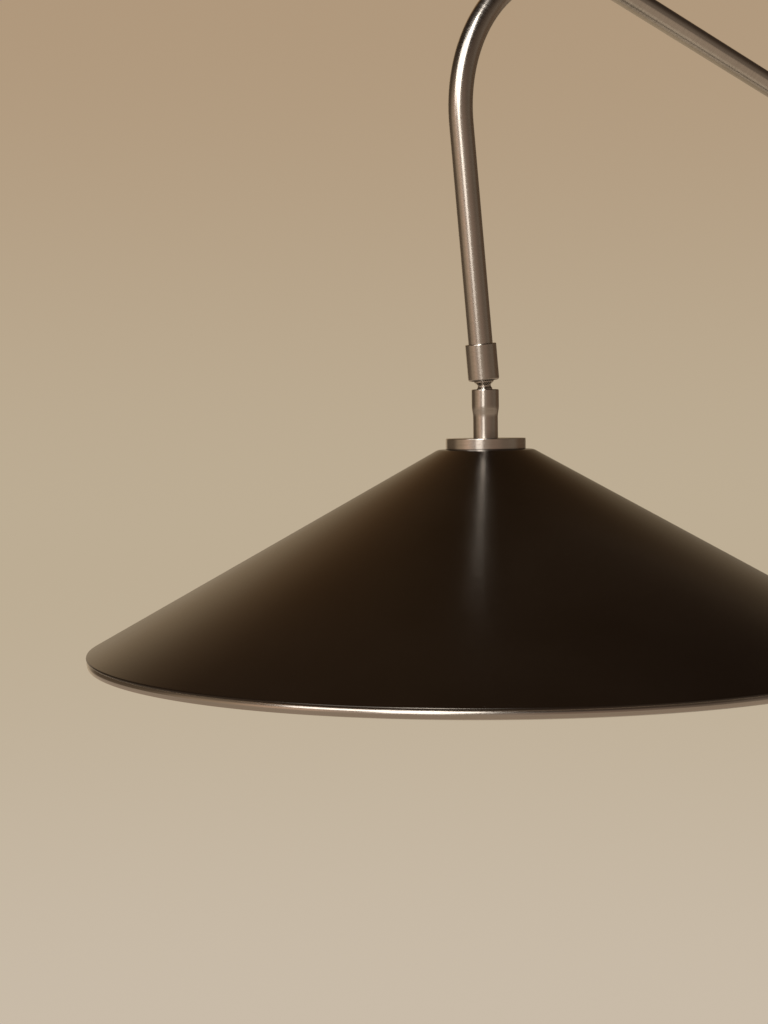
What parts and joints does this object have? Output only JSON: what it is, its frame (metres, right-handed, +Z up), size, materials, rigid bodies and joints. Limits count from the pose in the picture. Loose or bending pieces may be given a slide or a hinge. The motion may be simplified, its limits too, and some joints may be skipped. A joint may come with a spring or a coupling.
{
  "type": "arc floor lamp",
  "caption": "Floor lamp with a weighted round base, an upright with a sliding bent arm tube, and a wide conical shade hung from a ball joint.",
  "frame": {"origin": "centre of the base's underside, on the axis of the upright", "axes": "+Z up; the arm lies in the XZ plane and its head end points towards -X"},
  "size_m": [1.4322, 0.5236, 1.7996],
  "materials": {
    "nickel_tube": "brushed nickel plate, satin",
    "nickel_turned": "brushed nickel plate, turned and polished",
    "steel_parts": "plain zinc-plated steel",
    "bronze_cover": "dark bronze, satin lacquer",
    "bronze_shade": "dark bronze lacquer on spun aluminium, satin",
    "iron": "grey iron, black primed",
    "felt": "black felt",
    "black_plastic": "black moulding",
    "nylon": "natural nylon",
    "ceramic_core": "white steatite",
    "brass_parts": "bright brass",
    "bulb_shell": "bright threaded cap",
    "opal_glass": "opal",
    "lead": "black insulated lead"
  },
  "bodies": {
    "stand": {"base_felt": "felt", "base_plate": "steel_parts", "base_plate_screws": "steel_parts", "base_weight": "iron", "base_rim_band": "nickel_turned", "base_cover": "bronze_cover", "base_rod": "steel_parts", "base_washer": "steel_parts", "base_nut": "steel_parts", "cable_inlet": "black_plastic", "switch_housing": "black_plastic", "switch_bezel": "nickel_turned", "switch_spring": "steel_parts", "upright_foot": "nickel_turned", "upright_grub_screws": "steel_parts", "upright_tube": "nickel_tube", "upright_top_plug": "nickel_turned", "lead_in_base": "lead", "lead_in_upright": "lead"},
    "button": {"foot_button": "nickel_turned"},
    "collar": {"collar_body": "nickel_turned", "collar_grub_screws": "steel_parts", "collar_liner": "nylon"},
    "clamp": {"clamp_pad": "nylon"},
    "knob": {"clamp_stud": "steel_parts", "clamp_knob": "nickel_turned"},
    "arm": {"arm_tube_lower": "nickel_tube", "arm_tube_upper": "nickel_tube", "arm_spigot": "steel_parts", "arm_grub_screws": "steel_parts", "glide_pins": "steel_parts", "arm_glide": "nylon", "arm_ferrule": "nickel_turned", "lead_in_arm": "lead"},
    "stud": {"ball_stud": "nickel_turned", "lead_in_stud": "lead"},
    "seat": {"ball_seat": "nylon"},
    "head": {"socket_barrel": "nickel_turned", "shade_stem": "nickel_turned", "cap_disc": "nickel_turned", "shade": "bronze_shade", "shade_rim_band": "nickel_turned", "stem_nipple": "steel_parts", "shade_washer": "steel_parts", "shade_nut": "steel_parts", "lampholder_cap": "black_plastic", "lampholder_sleeve": "black_plastic", "lampholder_core": "ceramic_core", "lamp_thread": "brass_parts", "lamp_contact": "brass_parts", "bulb_cap": "bulb_shell", "bulb_glass": "opal_glass", "lead_in_head": "lead"}
  },
  "joints": [
    {"name": "foot_press", "type": "slide", "parent": "stand", "child": "button", "axis": [0, 0, -1], "range_m": [0, 0.0035], "stiffness_N_per_m": 600, "springref_m": -0.002, "deforming": ["switch_spring"]},
    {"name": "arm_swivel", "type": "hinge", "parent": "stand", "child": "collar", "pos_m": [0, 0, 1.25], "axis": [0, 0, 1], "range_deg": [-170, 170]},
    {"name": "clamp_travel", "type": "slide", "parent": "collar", "child": "clamp", "axis": [1, 0, 0], "range_m": [0, 0.00075]},
    {"name": "knob_turn", "type": "hinge", "parent": "clamp", "child": "knob", "pos_m": [0.02, 0, 1.2611], "axis": [1, 0, 0], "range_deg": [0, 270]},
    {"name": "arm_height", "type": "slide", "parent": "collar", "child": "arm", "axis": [0, 0, 1], "range_m": [-0.06, 0.24]},
    {"name": "head_swivel", "type": "hinge", "parent": "arm", "child": "stud", "pos_m": [-0.97888, 0, 1.50532], "axis": [-0.1011, 0, 0.9949], "range_deg": [-170, 170]},
    {"name": "head_tilt", "type": "hinge", "parent": "stud", "child": "seat", "pos_m": [-0.97888, 0, 1.50532], "axis": [0, 1, 0], "range_deg": [-21.8, 10.2]},
    {"name": "head_lean", "type": "hinge", "parent": "seat", "child": "head", "pos_m": [-0.97888, 0, 1.50532], "axis": [1, 0, 0], "range_deg": [-14, 14]}
  ],
  "couplings": [
    {"joint": "knob_turn", "follows": "clamp_travel", "rad_per_m": 6283.2}
  ]
}
